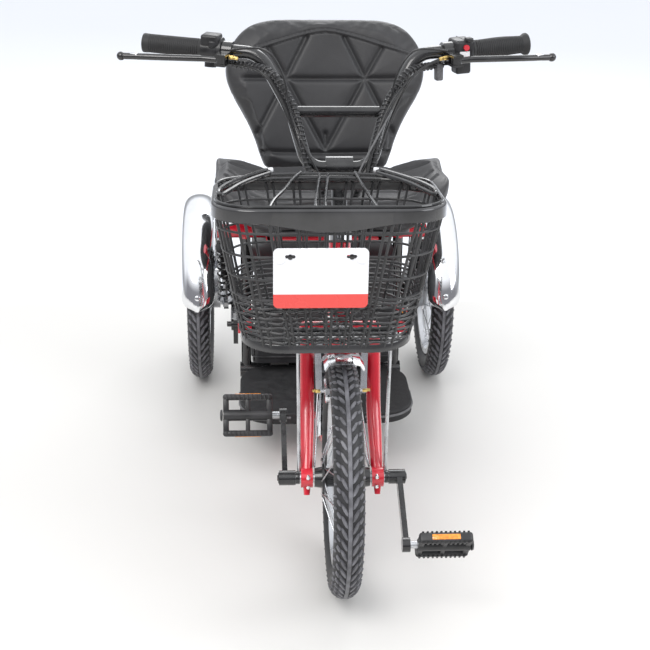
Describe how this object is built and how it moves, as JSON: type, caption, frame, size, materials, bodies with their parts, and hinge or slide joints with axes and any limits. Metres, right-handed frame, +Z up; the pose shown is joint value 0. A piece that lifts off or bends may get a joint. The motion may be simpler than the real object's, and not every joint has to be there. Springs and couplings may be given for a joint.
{
  "type": "adult tricycle",
  "caption": "Adult tricycle pedalled at the front wheel, with a lidded front basket, high handlebar, footboard, winged bucket seat and a sprung rear axle under chrome mudguards.",
  "frame": {"origin": "on the ground, under the middle of the overall length and width", "axes": "+Z up, -Y towards the front wheel, +X towards the rider's left"},
  "size_m": [0.7508, 1.3009, 0.8899],
  "materials": {
    "frame_red": "gloss",
    "black_metal": "gloss",
    "chrome": "polished",
    "alloy": "satin",
    "tyre_rubber": "matte",
    "grip_rubber": "matte",
    "black_plastic": "matte",
    "shiny_plastic": "gloss",
    "white_plastic": "gloss",
    "red_plastic": "gloss",
    "battery_case": "satin",
    "seat_foam": "satin",
    "spring_steel": "satin"
  },
  "bodies": {
    "frame": {"main_frame": "frame_red", "headset_cups": "chrome", "frame_bolts": "spring_steel", "footboard": "black_plastic", "battery_box": "battery_case", "battery_pack": "battery_case", "seat_pan": "black_metal", "seat_cushion": "seat_foam", "seat_back": "seat_foam"},
    "rear_axle": {"swing_arm": "frame_red", "axle_housing": "black_metal", "rear_mudguard_left": "chrome", "rear_mudguard_right": "chrome"},
    "rear_wheel_left": {"rear_tyre_left": "tyre_rubber", "rear_rim_left": "alloy", "rear_spokes_left": "spring_steel", "rear_hub_left": "alloy"},
    "rear_wheel_right": {"rear_tyre_right": "tyre_rubber", "rear_rim_right": "alloy", "rear_spokes_right": "spring_steel", "rear_hub_right": "alloy"},
    "shock_upper_left": {"shock_cylinder_left": "chrome"},
    "shock_lower_left": {"shock_rod_left": "spring_steel", "shock_spring_left": "spring_steel"},
    "shock_upper_right": {"shock_cylinder_right": "chrome"},
    "shock_lower_right": {"shock_rod_right": "spring_steel", "shock_spring_right": "spring_steel"},
    "steering": {"fork": "frame_red", "fork_bearings": "spring_steel", "stem": "black_metal", "handlebar": "black_metal", "left_grip": "grip_rubber", "throttle_housing": "black_plastic", "switch_housing": "black_plastic", "lever_brackets": "black_plastic", "front_mudguard": "chrome", "caliper_bolt": "alloy", "basket": "shiny_plastic", "basket_strut": "alloy", "plate": "white_plastic", "brake_cable": "grip_rubber", "wiring_loom": "grip_rubber"},
    "throttle": {"throttle_grip": "grip_rubber"},
    "horn": {"horn_button": "red_plastic"},
    "lever_left": {"brake_lever_left": "black_metal"},
    "lever_right": {"brake_lever_right": "black_metal"},
    "caliper_left": {"caliper_arm_left": "alloy"},
    "caliper_right": {"caliper_arm_right": "alloy"},
    "lid": {"basket_lid": "black_plastic"},
    "front_wheel": {"front_tyre": "tyre_rubber", "front_rim": "alloy", "front_spokes": "spring_steel", "front_hub": "alloy"},
    "crankset": {"crank_spindle": "black_metal", "crank_arm_left": "black_metal", "crank_arm_right": "black_metal", "pedal_spindles": "spring_steel"},
    "pedal_left": {"pedal_left": "black_plastic"},
    "pedal_right": {"pedal_right": "black_plastic"}
  },
  "joints": [
    {"name": "steering_turn", "type": "hinge", "parent": "frame", "child": "steering", "pos_m": [0, -0.31735, 0.44509], "axis": [0, 0.342, 0.9397], "range_deg": [-35, 35]},
    {"name": "rear_suspension", "type": "hinge", "parent": "frame", "child": "rear_axle", "pos_m": [0, 0.2675, 0.185], "axis": [1, 0, 0], "range_deg": [0, 5], "stiffness_Nm_per_rad": 420, "springref_deg": -20.05},
    {"name": "rear_wheel_left_spin", "type": "hinge", "parent": "rear_axle", "child": "rear_wheel_left", "pos_m": [0, 0.4325, 0.203], "axis": [1, 0, 0], "continuous": true},
    {"name": "rear_wheel_right_spin", "type": "hinge", "parent": "rear_axle", "child": "rear_wheel_right", "pos_m": [0, 0.4325, 0.203], "axis": [1, 0, 0], "continuous": true},
    {"name": "shock_turn_left", "type": "hinge", "parent": "frame", "child": "shock_upper_left", "pos_m": [0.209, 0.2805, 0.371], "axis": [1, 0, 0], "range_deg": [0, 0.809]},
    {"name": "shock_travel_left", "type": "slide", "parent": "shock_upper_left", "child": "shock_lower_left", "axis": [0, -0.4319, 0.9019], "range_m": [0, 0.00823], "deforming": ["shock_spring_left"]},
    {"name": "shock_turn_right", "type": "hinge", "parent": "frame", "child": "shock_upper_right", "pos_m": [-0.209, 0.2805, 0.371], "axis": [1, 0, 0], "range_deg": [0, 0.809]},
    {"name": "shock_travel_right", "type": "slide", "parent": "shock_upper_right", "child": "shock_lower_right", "axis": [0, -0.4319, 0.9019], "range_m": [0, 0.00823], "deforming": ["shock_spring_right"]},
    {"name": "front_wheel_spin", "type": "hinge", "parent": "steering", "child": "front_wheel", "pos_m": [0, -0.4475, 0.203], "axis": [1, 0, 0], "continuous": true},
    {"name": "crank_spin", "type": "hinge", "parent": "steering", "child": "crankset", "pos_m": [0, -0.4475, 0.203], "axis": [1, 0, 0], "continuous": true},
    {"name": "pedal_left_spin", "type": "hinge", "parent": "crankset", "child": "pedal_left", "pos_m": [0, -0.57637, 0.1483], "axis": [1, 0, 0], "continuous": true},
    {"name": "pedal_right_spin", "type": "hinge", "parent": "crankset", "child": "pedal_right", "pos_m": [0, -0.31863, 0.2577], "axis": [1, 0, 0], "continuous": true},
    {"name": "lid_open", "type": "hinge", "parent": "steering", "child": "lid", "pos_m": [-0.032, -0.3181, 0.69246], "axis": [-1, 0, 0], "range_deg": [0, 95]},
    {"name": "throttle_twist", "type": "hinge", "parent": "steering", "child": "throttle", "pos_m": [-0.33, -0.10848, 0.87077], "axis": [-0.9694, 0.2423, 0.0396], "range_deg": [0, 55], "stiffness_Nm_per_rad": 0.4},
    {"name": "lever_left_pull", "type": "hinge", "parent": "steering", "child": "lever_left", "pos_m": [0.19916, -0.18662, 0.85742], "axis": [-0.0408, 0, 0.9992], "range_deg": [0, 14], "stiffness_Nm_per_rad": 1.2},
    {"name": "lever_right_pull", "type": "hinge", "parent": "steering", "child": "lever_right", "pos_m": [-0.19916, -0.18662, 0.85742], "axis": [-0.0408, 0, -0.9992], "range_deg": [0, 14], "stiffness_Nm_per_rad": 1.2},
    {"name": "caliper_left_close", "type": "hinge", "parent": "steering", "child": "caliper_left", "pos_m": [0, -0.32419, 0.42629], "axis": [0, -0.9397, 0.342], "range_deg": [-0.8, 0]},
    {"name": "caliper_right_close", "type": "hinge", "parent": "steering", "child": "caliper_right", "pos_m": [0, -0.32419, 0.42629], "axis": [0, -0.9397, 0.342], "range_deg": [0, 0.8]},
    {"name": "horn_press", "type": "slide", "parent": "steering", "child": "horn", "axis": [-0.2421, 0.9702, -0.0099], "range_m": [0, 0.002], "stiffness_N_per_m": 400}
  ],
  "couplings": [
    {"joint": "crank_spin", "follows": "front_wheel_spin", "ratio": 1},
    {"joint": "caliper_left_close", "follows": "lever_left_pull", "ratio": -0.05714},
    {"joint": "caliper_right_close", "follows": "lever_left_pull", "ratio": 0.05714},
    {"joint": "shock_turn_left", "follows": "rear_suspension", "ratio": 0.15183},
    {"joint": "shock_travel_left", "follows": "rear_suspension", "m_per_rad": 0.09316},
    {"joint": "shock_turn_right", "follows": "rear_suspension", "ratio": 0.15183},
    {"joint": "shock_travel_right", "follows": "rear_suspension", "m_per_rad": 0.09316}
  ]
}
